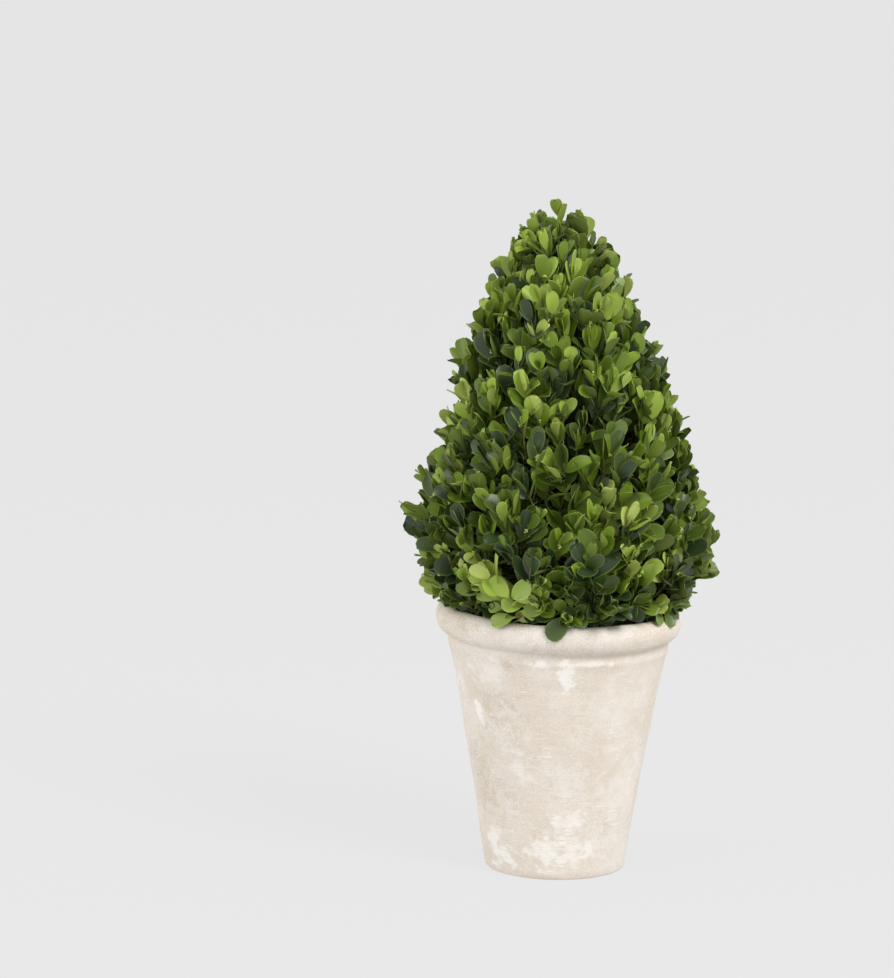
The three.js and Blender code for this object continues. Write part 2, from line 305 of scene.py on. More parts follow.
def earthy_grain():
    """Shader group for what is coarse and dug from the ground: a cloudy mottle, a fine grain and
    small dark pits, each from 0 to 1. Clay, potting mix and bark all use it."""
    group = bpy.data.node_groups.new("earthy_grain", "ShaderNodeTree")
    for name, start in (("Mottle Scale", 60.0), ("Grain Scale", 700.0), ("Pit Scale", 160.0)):
        socket = group.interface.new_socket(name, in_out="INPUT", socket_type="NodeSocketFloat")
        socket.default_value = start
    for name in ("Mottle", "Grain", "Pits"):
        group.interface.new_socket(name, in_out="OUTPUT", socket_type="NodeSocketFloat")
    given = group.nodes.new("NodeGroupInput").outputs
    place = group.nodes.new("ShaderNodeTexCoord").outputs["Object"]
    mottle = wire(group, "ShaderNodeTexNoise", {"Vector": place, "Scale": given[0], "Detail": 5.0})
    grain = wire(group, "ShaderNodeTexNoise", {"Vector": place, "Scale": given[1], "Detail": 3.0})
    ragged = {0: 0.02, 4: place, 5: grain.outputs["Color"]}
    shifted = wire(group, "ShaderNodeMix", ragged, data_type="VECTOR")
    cells = wire(group, "ShaderNodeTexVoronoi", {"Vector": shifted.outputs[1], "Scale": given[2]})
    result = group.nodes.new("NodeGroupOutput").inputs
    group.links.new(spread(group, mottle.outputs[0], 0.3, 0.7), result[0])
    group.links.new(grain.outputs[0], result[1])
    group.links.new(spread(group, cells.outputs["Distance"], 0.2, 0.08), result[2])
    return group


GRAIN = earthy_grain()


def grain_of(tree, mottle_scale, grain_scale, pit_scale):
    """Mottle, grain and pits, each at a number of spots to the metre."""
    scales = {"Mottle Scale": mottle_scale, "Grain Scale": grain_scale, "Pit Scale": pit_scale}
    return wire(tree, "ShaderNodeGroup", scales, node_tree=GRAIN).outputs


def whitewashed_clay():
    """Sandy clay under a chalky haze, with dirt where it is bare, thick wash, scratches and pits."""
    material, tree, shader = new_material("whitewashed_clay", {"Specular IOR Level": 0.25})
    place = tree.nodes.new("ShaderNodeTexCoord").outputs["Object"]
    mottle, speck, pits = grain_of(tree, 130.0, 1000.0, 230.0)
    wash = wire(tree, "ShaderNodeAttribute", {}, attribute_name="wash").outputs["Fac"]
    stain = wire(tree, "ShaderNodeAttribute", {}, attribute_name="stain").outputs["Fac"]

    def noisy(across, along, detail=3.0):
        """Noise stretched round or down the pot, by how many times a metre it varies each way."""
        stretched = wire(tree, "ShaderNodeMapping", {"Vector": place, "Scale": (across, across, along)})
        sockets = {"Vector": stretched.outputs[0], "Scale": 1.0, "Detail": detail}
        return wire(tree, "ShaderNodeTexNoise", sockets).outputs[0]

    def times(value, factor):
        return add_up(tree, value, factor, "MULTIPLY")

    clouds, brushed, drips = noisy(34, 24, 5.0), noisy(90, 1100, 4.0), noisy(300, 40)
    scratched = spread(tree, noisy(50, 50), 0.5, 0.68)
    colour = blend(tree, mottle, srgb(209, 198, 183), srgb(222, 213, 201))
    colour = blend(tree, times(spread(tree, clouds, 0.38, 0.64), 0.7), colour, srgb(226, 220, 213))
    colour = blend(tree, spread(tree, drips, 0.56, 0.75, 0, 0.14), colour, srgb(204, 193, 177))

    # Dirt shows as freckles that crowd together where the clay is bare.
    freckles = spread(tree, add_up(tree, times(speck, 1.1), times(mottle, 0.35)), 0.62, 0.86)
    dirt = spread(tree, add_up(tree, stain, times(freckles, 0.5)), 0.3, 1.15)
    colour = blend(tree, times(dirt, 0.58), colour, srgb(186, 171, 147))
    colour = blend(tree, times(freckles, 0.16), colour, srgb(168, 148, 120))

    ragged = add_up(tree, times(speck, 0.8), times(mottle, 0.3))
    worn = spread(tree, add_up(tree, wash, ragged), 0.68, 1.3)
    colour = blend(tree, times(worn, 0.64), colour, srgb(240, 238, 234))
    pale = add_up(tree, spread(tree, brushed, 0.54, 0.68, 0, 0.55), scratched, "MULTIPLY")
    dark = add_up(tree, spread(tree, brushed, 0.44, 0.32, 0, 0.45), scratched, "MULTIPLY")
    colour = blend(tree, pale, colour, srgb(240, 236, 229))
    colour = blend(tree, dark, colour, srgb(196, 183, 163))
    colour = blend(tree, times(pits, 0.34), colour, srgb(150, 132, 108))
    tree.links.new(colour, shader.inputs["Base Color"])
    tree.links.new(spread(tree, speck, 0.3, 0.7, 0.82, 0.97), shader.inputs["Roughness"])

    relief = add_up(tree, times(speck, 0.6), times(brushed, 0.3))
    relief = add_up(tree, add_up(tree, relief, times(pits, 0.6), "SUBTRACT"), times(worn, 0.4))
    bump = wire(tree, "ShaderNodeBump", {"Height": relief, "Strength": 0.6, "Distance": 0.0003})
    tree.links.new(bump.outputs[0], shader.inputs["Normal"])
    return material


def add_piece(name, mesh, materials, nodes=()):
    """Puts a finished mesh in the scene as a piece of the plant, which stands for those CAD nodes."""
    piece = bpy.data.objects.new(name, mesh)
    bpy.context.scene.collection.objects.link(piece)
    for material in materials[len(mesh.materials):]:
        mesh.materials.append(material)
    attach(piece, "root")
    if nodes:
        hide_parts(*nodes)
    return piece


add_piece("clay_pot", make_pot(), [whitewashed_clay()], ["pot"])

# ---- the potting mix ----
# Crumbly bark mix, a little below the pot's mouth and banked slightly up to the stem. The surface is
# a lumpy turned solid, and flakes of bark lie scattered over it.
mix_low, mix_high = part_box("potting_mix")
MIX_RADIUS = (mix_high.x - mix_low.x) / 2 - 0.0003
MIX_FOOT_RADIUS = wall_radius(mix_low.z) - POT_WALL - 0.0003
MIX_EDGE = mix_high.z - 0.0028
FLAKE_SIZE = 0.0022
FLAKES_REACH = MIX_RADIUS - 0.0042  # clear of the pot's wall by the longest flake
FLAKES_PER_SQUARE_METRE = 26000.0
FLAKE_SEED = 5
CRUMB = 0.0009  # height of the large lumps of the surface
SMALL_CRUMB = 0.0006


def mix_section():
    rings = np.linspace(MIX_RADIUS, 0.002, 40)
    top = np.stack([rings, mix_high.z - 0.0006 - 0.0022 * (rings / MIX_RADIUS) ** 2], 1)
    return np.concatenate([[(MIX_FOOT_RADIUS / 2, mix_low.z), (MIX_FOOT_RADIUS, mix_low.z)], top])


def crumbled(points):
    """Lumps of mix, on the surface only, so that the sides keep clear of the clay."""
    points = thrown(points)
    for point in points:
        if point[2] > MIX_EDGE - 0.004 and math.hypot(point[0], point[1]) < MIX_RADIUS - 0.001:
            place = Vector(point)
            coarse = CRUMB * noise.noise(place / 0.006)
            point[2] += coarse + SMALL_CRUMB * noise.noise(place / 0.0022) - SMALL_CRUMB
    return points


def dark_mix():
    material, tree, shader = new_material("bark_mix", {"Specular IOR Level": 0.2})
    mottle, speck, pits = grain_of(tree, 220.0, 1400.0, 500.0)
    colour = blend(tree, mottle, srgb(34, 25, 18), srgb(72, 54, 38))
    colour = blend(tree, spread(tree, speck, 0.58, 0.74, 0, 0.5), colour, srgb(112, 88, 62))
    tree.links.new(colour, shader.inputs["Base Color"])
    tree.links.new(spread(tree, speck, 0.3, 0.7, 0.85, 1), shader.inputs["Roughness"])
    relief = add_up(tree, speck, pits, "SUBTRACT")
    bump = wire(tree, "ShaderNodeBump", {"Height": relief, "Strength": 0.8, "Distance": 0.0006})
    tree.links.new(bump.outputs[0], shader.inputs["Normal"])
    return material


def node_tree_with(name, inputs):
    """A Geometry Nodes tree with named inputs. Returns it, what its inputs give, and its result."""
    tree = bpy.data.node_groups.new(name, "GeometryNodeTree")
    for label, kind in inputs:
        tree.interface.new_socket(label, in_out="INPUT", socket_type=kind)
    tree.interface.new_socket("Made", in_out="OUTPUT", socket_type="NodeSocketGeometry")
    return tree, tree.nodes.new("NodeGroupInput").outputs, tree.nodes.new("NodeGroupOutput").inputs[0]


def finish_tree(tree, made, material, result):
    """Every tree ends by realizing its instances, shading them smooth and setting the material."""
    made = wire(tree, "GeometryNodeRealizeInstances", {0: made}).outputs[0]
    made = wire(tree, "GeometryNodeSetShadeSmooth", {0: made, 2: True}).outputs[0]
    made = wire(tree, "GeometryNodeSetMaterial", {0: made, 2: material}).outputs[0]
    tree.links.new(made, result)


def grown_mesh(name, source, tree, values):
    """The plain mesh that a Geometry Nodes tree makes from a source mesh and its named inputs."""
    carrier = bpy.data.objects.new(name, source)
    bpy.context.scene.collection.objects.link(carrier)
    modifier = carrier.modifiers.new("grow", "NODES")
    modifier.node_group = tree
    for item in tree.interface.items_tree:
        if item.item_type == "SOCKET" and item.in_out == "INPUT" and item.name in values:
            modifier[item.identifier] = values[item.name]
    depsgraph = bpy.context.evaluated_depsgraph_get()
    made = bpy.data.meshes.new_from_object(carrier.evaluated_get(depsgraph), depsgraph=depsgraph)
    carrier.modifiers.remove(modifier)
    bpy.data.objects.remove(carrier)
    made.name = name
    return made


def vector_math(tree, how, *values):
    sockets = dict(enumerate(values))
    return wire(tree, "ShaderNodeVectorMath", sockets, operation=how).outputs


def noise_push(tree, place, scale, reach):
    """A push that turns smoothly from place to place, for bending or roughening a mesh."""
    sockets = {"Vector": place, "Scale": scale, "Detail": 1.0}
    colour = wire(tree, "ShaderNodeTexNoise", sockets).outputs["Color"]
    centred = vector_math(tree, "ADD", colour, (-0.5, -0.5, -0.5))[0]
    sockets = {0: centred, "Scale": reach}
    return wire(tree, "ShaderNodeVectorMath", sockets, operation="SCALE").outputs[0]


def random_vector(tree, low, high, seed):
    sockets = {0: low, 1: high, "Seed": seed}
    return wire(tree, "FunctionNodeRandomValue", sockets, data_type="FLOAT_VECTOR").outputs[0]


def scatter(tree, points, thing, turn, size):
    sockets = {"Points": points, "Instance": thing, "Rotation": turn, "Scale": size}
    return wire(tree, "GeometryNodeInstanceOnPoints", sockets).outputs[0]


def pebble(tree, radius):
    sockets = {"Radius": radius, "Subdivisions": 2}
    return wire(tree, "GeometryNodeMeshIcoSphere", sockets).outputs[0]


def flake_tree():
    """Scatters bent flakes over the faces that look up, within a reach of the pot's axis."""
    tree, given, result = node_tree_with("scattered_flakes", [
        ("Ground", "NodeSocketGeometry"),
        ("Size", "NodeSocketFloat"),
        ("Density", "NodeSocketFloat"),
        ("Reach", "NodeSocketFloat"),
        ("Seed", "NodeSocketInt"),
        ("Bark", "NodeSocketMaterial"),
    ])
    normal = tree.nodes.new("GeometryNodeInputNormal").outputs[0]
    facing = wire(tree, "ShaderNodeSeparateXYZ", {0: normal}).outputs[2]
    steep = {0: facing, 1: 0.5}
    upward = wire(tree, "FunctionNodeCompare", steep, operation="GREATER_THAN").outputs[0]
    place = tree.nodes.new("GeometryNodeInputPosition").outputs[0]
    level = vector_math(tree, "MULTIPLY", place, (1, 1, 0))[0]
    reach = {0: vector_math(tree, "LENGTH", level)["Value"], 1: given["Reach"]}
    near = wire(tree, "FunctionNodeCompare", reach, operation="LESS_THAN").outputs[0]
    chosen = wire(tree, "FunctionNodeBooleanMath", {0: upward, 1: near}, operation="AND").outputs[0]
    spots = wire(tree, "GeometryNodeDistributePointsOnFaces", {
        "Mesh": given["Ground"],
        "Selection": chosen,
        4: given["Density"],
        "Seed": given["Seed"],
    })
    bend = noise_push(tree, place, 420.0, 0.003)
    flake = wire(tree, "GeometryNodeSetPosition", {0: pebble(tree, given["Size"]), 3: bend})
    turn = random_vector(tree, (-0.5, -0.5, 0.0), (0.5, 0.5, 6.28), 2)
    size = random_vector(tree, (0.35, 0.3, 0.1), (1.2, 0.8, 0.3), 3)
    scattered = scatter(tree, spots.outputs[0], flake.outputs[0], turn, size)
    finish_tree(tree, scattered, given["Bark"], result)
    return tree


def bark_relief(name, dark, light, scale):
    """Grey-brown bark, cracked along the limb, with the cracks darker than the ridges."""
    material, tree, shader = new_material(name, {"Specular IOR Level": 0.25})
    mottle, speck, pits = grain_of(tree, scale, 1800.0, 700.0)
    colour = blend(tree, mottle, dark, light)
    colour = blend(tree, add_up(tree, pits, 0.5, "MULTIPLY"), colour, dark)
    tree.links.new(colour, shader.inputs["Base Color"])
    tree.links.new(spread(tree, speck, 0.3, 0.7, 0.7, 0.95), shader.inputs["Roughness"])
    bump = wire(tree, "ShaderNodeBump", {"Height": mottle, "Strength": 0.5, "Distance": 0.0004})
    tree.links.new(bump.outputs[0], shader.inputs["Normal"])
    return material


mix_mesh = turned_mesh("mix", mix_section(), 120, crumbled)
flake_bark = bark_relief("flake_bark", srgb(58, 42, 30), srgb(120, 94, 68), 500.0)
flakes = grown_mesh("bark_flakes", mix_mesh.copy(), flake_tree(), {
    "Size": FLAKE_SIZE,
    "Density": FLAKES_PER_SQUARE_METRE,
    "Reach": FLAKES_REACH,
    "Seed": FLAKE_SEED,
    "Bark": flake_bark,
})
add_piece("mix_surface", mix_mesh, [dark_mix()], ["potting_mix"])
add_piece("bark_flakes", flakes, [flake_bark])

# ---- the stem ----
# One short woody trunk that flares into the mix, leans a little and tapers up into the crown. Its
# thin bark is cracked along the grain, so the mesh has ridges that run and wander upwards.
stem_low, stem_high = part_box("stem")
STEM_SIDES = 48
STEM_RINGS = 150
STEM_RADIUS = 0.0056
STEM_TIP_RADIUS = 0.0026
ROOT_FLARE = 0.0044
ROOT_LOBES = 5
FLARE_HEIGHT = 0.009
STEM_LEAN = 0.0035
STEM_BOW = 0.0015


def stem_axis(share):
    """The middle of the stem at a share of its height."""
    z = stem_low.z + (stem_high.z - stem_low.z) * share
    return Vector((STEM_LEAN * share**1.4, STEM_BOW * math.sin(math.pi * share), z))


def make_stem():
    rows = []
    for ring in range(STEM_RINGS):
        share = ring / (STEM_RINGS - 1)
        middle = stem_axis(share)
        flare = ROOT_FLARE * math.exp(-share * (stem_high.z - stem_low.z) / FLARE_HEIGHT)
        trunk = STEM_RADIUS + (STEM_TIP_RADIUS - STEM_RADIUS) * share
        row = []
        for side in range(STEM_SIDES):
            around = 2 * math.pi * side / STEM_SIDES
            out = Vector((math.cos(around), math.sin(around), 0))
            radius = trunk + flare * (1 + 0.35 * math.cos(ROOT_LOBES * around))
            grain_place = Vector((out.x * 2.6, out.y * 2.6, middle.z / 0.02))
            ridge = 0.00055 * noise.noise(grain_place) + 0.0003 * noise.noise(grain_place * 2.3)
            row.append(middle + out * (radius - 0.0003 + ridge * min(1, 40 * (1 - share))))
        rows.append(row)
    points = [p for row in rows for p in row] + [stem_axis(0), stem_axis(1)]
    return smooth_mesh("stem", points, ring_faces(STEM_RINGS, STEM_SIDES))


old_bark = bark_relief("stem_bark", srgb(84, 70, 52), srgb(158, 140, 112), 260.0)
add_piece("stem_bark", make_stem(), [old_bark], ["stem"])

# ---- boughs, branches and shoots ----
# The limbs of a hard-clipped bush: boughs leave the stem by the golden angle and rise outwards,
# branches fork from the boughs, and leafy shoots fork from the branches up to the clipped face.
# Each joins the nearest thicker limb below it, and is a tapering tube along its own curve.
crown_low, crown_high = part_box("crown")
CROWN_RADIUS = (crown_high.x - crown_low.x) / 2 + 0.0005
CROWN_WIDEST = 0.218
CROWN_TIP = crown_high.z
CROWN_FOOT = 0.173
CROWN_TUCK = 0.15
WAIST_HEIGHT = 0.294
WAIST_SPAN = 0.018
WAIST = 0.004  # how far the face dips in at the waist
LEAN_HEIGHTS = [0.17, 0.20, 0.23, 0.29, 0.38, 0.42]
LEAN = [0.0009, 0.003, 0.003, -0.0015, -0.003, -0.0055]  # the crown's middle wanders in X by this
GOLDEN_ANGLE = math.pi * (3 - math.sqrt(5))
BOUGHS = 38
BOUGH_DEPTH = 0.052  # how far inside the clipped face the boughs end
BOUGH_RADIUS = 0.0022
TOP_BOUGH_RADIUS = 0.0017  # of the boughs that leave the stem at its very top
BOUGH_END_RADIUS = 0.0011
LOWEST_BOUGH = 0.180  # the height of its end
TOP_BOUGH_RISE = 0.150  # a bough that ends this far above the lowest leaves near the stem's top
BRANCHES = 230
BRANCH_DEPTH = 0.033
BRANCH_RADIUS = 0.0012
BRANCH_END_RADIUS = 0.0007
SHOOTS = 450
SHOOT_RADIUS = 0.00062
SHOOT_END_RADIUS = 0.0003
RIM_SHOOTS = 30
RIM_SHOOT_RADII = (0.073, 0.080)
RIM_SHOOT_HEIGHTS = (0.176, 0.182)
LEAFY_LENGTH = 0.027  # the leafy end of a shoot
SHOOT_REACH = 0.008  # from a shoot's tip out to the middle of its leaves
MEAN_DEPTH = 0.009  # how far inside the clipped face the shoots end
DEPTH_CHANGE = 0.0042
MOST_OUTWARD = 0.0045  # how far out from that mean a tip may come
CLUMP_DEPTH = 0.006
DEPTH_HEIGHTS = [0.27, 0.39, 0.42]
MORE_DEPTH = [0, 0.003, 0.0055]  # the shoots end deeper near the top
LEADER_WAY = Vector((0.1, -0.04, 1)).normalized()  # of the one shoot that ends the crown
LEADER_TIP = Vector((-0.004, -0.001, CROWN_TIP - 0.0115))
RISE_HEIGHTS = [0.172, 0.185, 0.205, 0.23, 0.27, 0.33, 0.43]
RISES = [0.2, 0.5, 1.0, 1.5, 2.0, 2.5, 4.5]  # how steeply shoots rise for one step outwards
BRANCHING_SEED = 20
rng = np.random.default_rng(BRANCHING_SEED)

# Bare hollows low on the face: degrees round the pot, height, radius from the axis, and how wide.
HOLLOWS = [(-109, 0.188, 0.087, 0.0108), (-91, 0.184, 0.085, 0.0080), (-60, 0.196, 0.090, 0.0070)]


def about_pot(degrees, height, radius):
    around = math.radians(degrees)
    return Vector((radius * math.cos(around), radius * math.sin(around), height))


def in_hollow(point):
    return any((point - about_pot(*place)).length < width for *place, width in HOLLOWS)


def crown_radius(z):
    """Radius of the clipped face, at the leaf tips, at a height."""
    if z < CROWN_WIDEST:
        down = (CROWN_WIDEST - z) / (CROWN_WIDEST - CROWN_FOOT)
        return CROWN_RADIUS * (1 - CROWN_TUCK * down * down)
    up = min(1, (z - CROWN_WIDEST) / (CROWN_TIP - CROWN_WIDEST))
    dip = WAIST * math.exp(-(((z - WAIST_HEIGHT) / WAIST_SPAN) ** 2))
    return CROWN_RADIUS * (1 - up**1.1) ** 0.55 - dip


def spaced_heights(count, low, high):
    """Heights that share the crown's face evenly between them, lowest first."""
    z = np.linspace(low, high, 400)
    radius = np.array([crown_radius(h) for h in z])
    strip = np.hypot(np.diff(z), np.diff(radius)) * (radius[1:] + radius[:-1]) / 2
    area = np.concatenate([[0], np.cumsum(strip)])
    return np.interp((np.arange(count) + 0.5) / count * area[-1], area, z)


def crown_place(z, around, inside):
    """A point at a height, that far inside the face, and the way out from it."""
    radius = crown_radius(z)
    depth = min(inside, 0.55 * radius + 0.25 * inside)
    out = Vector((math.cos(around), math.sin(around), 0))
    slope = (crown_radius(z + 0.002) - crown_radius(z - 0.002)) / 0.004
    face = Vector((out.x, out.y, max(-0.6, -slope))).normalized()
    middle = Vector((np.interp(z, LEAN_HEIGHTS, LEAN), 0, z))
    return middle + out * radius - face * depth, face


def growing_way(z, face):
    """The way a shoot points at a height: out over the rim, up and outwards along the sides, up at
    the tip."""
    out = Vector((face.x, face.y, 0)).normalized()
    rising = (out + Vector((0, 0, np.interp(z, RISE_HEIGHTS, RISES)))).normalized()
    aside = Vector((-out.y, out.x, 0)) * rng.normal(0, 0.22)
    return (rising + aside + Vector(rng.normal(0, 0.11, 3))).normalized()


def curved(start, start_way, end, end_way, steps):
    """Points on a smooth curve between two points that leaves and arrives in given directions."""
    reach = (end - start).length * 0.4
    a, b, c, d = start, start + start_way * reach, end - end_way * reach, end
    points = []
    for i in range(steps + 1):
        t = i / steps
        points.append(a * (1 - t) ** 3 + b * 3 * t * (1 - t) ** 2 + c * 3 * t * t * (1 - t) + d * t**3)
    return points


class Limbs:
    """Tapering limbs as lines of points with a thickness, and a search for where the next may fork."""

    def __init__(self):
        self.points, self.thickness, self.ways, self.edges = [], [], [], []

    def add(self, points, thick, thin):
        first = len(self.points)
        for i, point in enumerate(points):
            share = i / (len(points) - 1)
            ahead = points[min(i + 1, len(points) - 1)] - points[max(i - 1, 0)]
            self.points.append(point)
            self.ways.append(ahead.normalized())
            self.thickness.append(thick + (thin - thick) * share)
            if i:
                self.edges.append((first + i - 1, first + i))

    def search(self):
        self.tree = kdtree.KDTree(len(self.points))
        for i, point in enumerate(self.points):
            self.tree.insert(point, i)
        self.tree.balance()

    def fork_for(self, target):
        """The point to fork from: near the target, and rather below it than above."""
        def cost(found):
            point, _, distance = found
            return distance + 1.2 * max(0, point.z - target.z + 0.006)
        point, index, _ = min(self.tree.find_n(target, 24), key=cost)
        return point, self.ways[index], self.thickness[index]

    def mesh(self, name):
        mesh = bpy.data.meshes.new(name)
        mesh.from_pydata(self.points, self.edges, [])
        layer = mesh.attributes.new("thickness", "FLOAT", "POINT")
        layer.data.foreach_set("value", self.thickness)
        return mesh


boughs = Limbs()
inner_ends = []
for i, z in enumerate(spaced_heights(BOUGHS, LOWEST_BOUGH, CROWN_TIP - 0.022)):
    around = i * GOLDEN_ANGLE + rng.normal(0, 0.15)
    end, face = crown_place(z, around, BOUGH_DEPTH)
    start_share = min(1, 0.03 + (z - LOWEST_BOUGH) / TOP_BOUGH_RISE * 0.85)
    rise, girth = (0.9, BOUGH_RADIUS) if start_share < 1 else (2.5, TOP_BOUGH_RADIUS)
    out = Vector((math.cos(around), math.sin(around), rise)).normalized()
    end_way = growing_way(z, face)
    boughs.add(curved(stem_axis(start_share), out, end, end_way, 9), girth, BOUGH_END_RADIUS)
    inner_ends.append((end, end_way, face))
boughs.search()

branches = Limbs()


def forked_line(limbs, end, end_way, steps):
    """A curve from the nearest thicker limb to an end, with the thickness of that limb."""
    start, way, girth = limbs.fork_for(end)
    fork_way = (way + (end - start).normalized() * 1.5).normalized()
    return curved(start, fork_way, end, end_way, steps), girth


def add_branch(end, end_way, face):
    line, girth = forked_line(boughs, end, end_way, 6)
    branches.add(line, min(girth, BRANCH_RADIUS), BRANCH_END_RADIUS)
    inner_ends.append((end, end_way, face))


for i, z in enumerate(spaced_heights(BRANCHES, 0.176, CROWN_TIP - 0.012)):
    end, face = crown_place(z, i * GOLDEN_ANGLE + rng.normal(0, 0.2), BRANCH_DEPTH)
    add_branch(end, growing_way(z, face), face)
for degrees, height, radius, _ in HOLLOWS:  # three more branches close the crown behind each hollow
    for aside in (-8, 0, 8):
        end = about_pot(degrees + aside, height - 0.006, radius - 0.026)
        face = Vector((end.x, end.y, 0)).normalized()
        add_branch(end, (face + Vector((0, 0, 0.7))).normalized(), face)
branches.search()

# Each shoot is its tip, the way it points, and the way out of the clipped face.
shoot_ends = []


def add_shoot(tip, way, face):
    if not in_hollow(tip + way * SHOOT_REACH):
        shoot_ends.append((tip, way, face))


for i, z in enumerate(spaced_heights(SHOOTS, 0.174, CROWN_TIP - 0.012)):
    around = i * GOLDEN_ANGLE + rng.normal(0, 0.09)
    high = z + rng.normal(0, 0.0015)
    clump = noise.noise(Vector((math.cos(around) * 1.6, math.sin(around) * 1.6, z / 0.034)))
    depth = MEAN_DEPTH + max(-MOST_OUTWARD, rng.normal(0.0, DEPTH_CHANGE)) - CLUMP_DEPTH * clump
    depth += np.interp(z, DEPTH_HEIGHTS, MORE_DEPTH)
    tip, face = crown_place(high, around, depth)
    add_shoot(tip, growing_way(high, face), face)
for i in range(RIM_SHOOTS):  # the lowest lean out over the pot's rim
    around = 2 * math.pi * (i + rng.uniform(-0.3, 0.3)) / RIM_SHOOTS
    out = Vector((math.cos(around), math.sin(around), 0))
    tip = out * rng.uniform(*RIM_SHOOT_RADII)
    tip.z = rng.uniform(*RIM_SHOOT_HEIGHTS) - RIM_SLOPE * tip.x
    add_shoot(tip, growing_way(0.180, out), out)
shoot_ends.append((LEADER_TIP, LEADER_WAY, LEADER_WAY))

# The shears missed a few low shoots, which stand out: degrees round the pot, height, radius, rise.
STRAYS = [
    (181, 0.2280, 0.0905, 0.45),
    (187, 0.2010, 0.0825, 0.00),
    (172, 0.2480, 0.0850, 0.70),
    (2, 0.1930, 0.0870, 0.50),
]
for degrees, height, radius, rise in STRAYS:
    tip = about_pot(degrees, height, radius)
    out = Vector((tip.x, tip.y, 0)).normalized()
    shoot_ends.append((tip, (out + Vector((0, 0, rise))).normalized(), out))

shoots = Limbs()
for tip, way, _ in shoot_ends:
    base = tip - way * LEAFY_LENGTH
    line, _ = forked_line(branches, base, way, 4)
    line += [base + way * LEAFY_LENGTH * share for share in (0.35, 0.7, 1.0)]
    shoots.add(line, SHOOT_RADIUS, SHOOT_END_RADIUS)


def limb_tree():
    """Turns lines with a thickness into capped tubes, with a little knotty relief."""
    tree, given, result = node_tree_with("tapering_limbs", [
        ("Lines", "NodeSocketGeometry"),
        ("Sides", "NodeSocketInt"),
        ("Relief", "NodeSocketFloat"),
        ("Bark", "NodeSocketMaterial"),
    ])
    lines = wire(tree, "GeometryNodeMeshToCurve", {0: given["Lines"]}).outputs[0]
    circle = {"Resolution": given["Sides"], "Radius": 1.0}
    section = wire(tree, "GeometryNodeCurvePrimitiveCircle", circle).outputs[0]
    thickness = {"Name": "thickness"}
    girth = wire(tree, "GeometryNodeInputNamedAttribute", thickness, data_type="FLOAT").outputs[0]
    tube = {"Curve": lines, "Profile Curve": section, "Scale": girth, "Fill Caps": True}
    tubes = wire(tree, "GeometryNodeCurveToMesh", tube).outputs[0]
    place = tree.nodes.new("GeometryNodeInputPosition").outputs[0]
    knots = noise_push(tree, place, 900.0, given["Relief"])
    knotty = wire(tree, "GeometryNodeSetPosition", {0: tubes, 3: knots}).outputs[0]
    finish_tree(tree, knotty, given["Bark"], result)
    return tree


young_bark = bark_relief("shoot_bark", srgb(98, 92, 50), srgb(156, 150, 96), 500.0)
LIMB_TREE = limb_tree()
# Each kind of limb: its lines, the sides of its tubes, how high its knots stand, and its bark.
for name, limbs, sides, relief, bark in (
    ("boughs", boughs, 9, 0.0006, old_bark),
    ("branches", branches, 7, 0.0003, old_bark),
    ("shoots", shoots, 5, 0.0001, young_bark),
):
    values = {"Sides": sides, "Relief": relief, "Bark": bark}
    made = grown_mesh(name, limbs.mesh(name), LIMB_TREE, values)
    add_piece(name, made, [bark], ["crown"] if name == "boughs" else ())

# ---- the leaves ----
# Thick waxy blades, broadest beyond the middle and blunt or slightly notched, on a short stalk. They
# sit in crossed pairs up each shoot, cupped, with a pale edge and a paler underside. The blade is one
# closed skin, shaped and bent for each leaf from the same few rows.
LEAF_LENGTH = 0.0196
LEAF_THICKNESS = 0.00034
ROW_SHARES = np.array([-0.1, 0.04, 0.22, 0.45, 0.67, 0.85, 0.96])
UPPER_COLUMNS = np.array([-1, -0.88, -0.45, 0, 0.45, 0.88, 1])
LOWER_COLUMNS = np.array([-0.94, -0.47, 0, 0.47, 0.94])
LEAVES_IN_A_PIECE = 1000

# Tints of the upper side, from old and bluish to new and yellowish, with how often each is dealt.
UPPER_TINTS = [
    (srgb(44, 62, 32), 0.24),
    (srgb(57, 76, 19), 0.25),
    (srgb(78, 100, 20), 0.21),
    (srgb(100, 124, 29), 0.15),
    (srgb(125, 150, 44), 0.10),
    (srgb(149, 173, 66), 0.04),
    (srgb(174, 188, 96), 0.01),
]
LOWER_TINTS = [srgb(96, 112, 42), srgb(122, 141, 50), srgb(154, 170, 82)]
EDGE_TINTS = [srgb(86, 104, 44), srgb(112, 134, 46), srgb(150, 168, 76)]
LOWER_FOR_UPPER = np.array([0, 0, 1, 1, 1, 2, 2])  # which of them goes with each upper tint
EDGE_FOR_UPPER = np.array([0, 0, 1, 1, 2, 2, 2])


BLADE_PEAK = 0.4658  # of the curve below, at the broadest part of the blade


def blade_half_width(share):
    """Half width of the blade along it, 1 at the broadest, with a narrow stalk at the foot."""
    inside = np.clip(share, 0.001, 0.999)
    blade = inside**0.75 * (1 - inside) ** 0.42 / BLADE_PEAK
    return np.where(share < 0.05, np.maximum(0.11, blade * 0.8), blade)


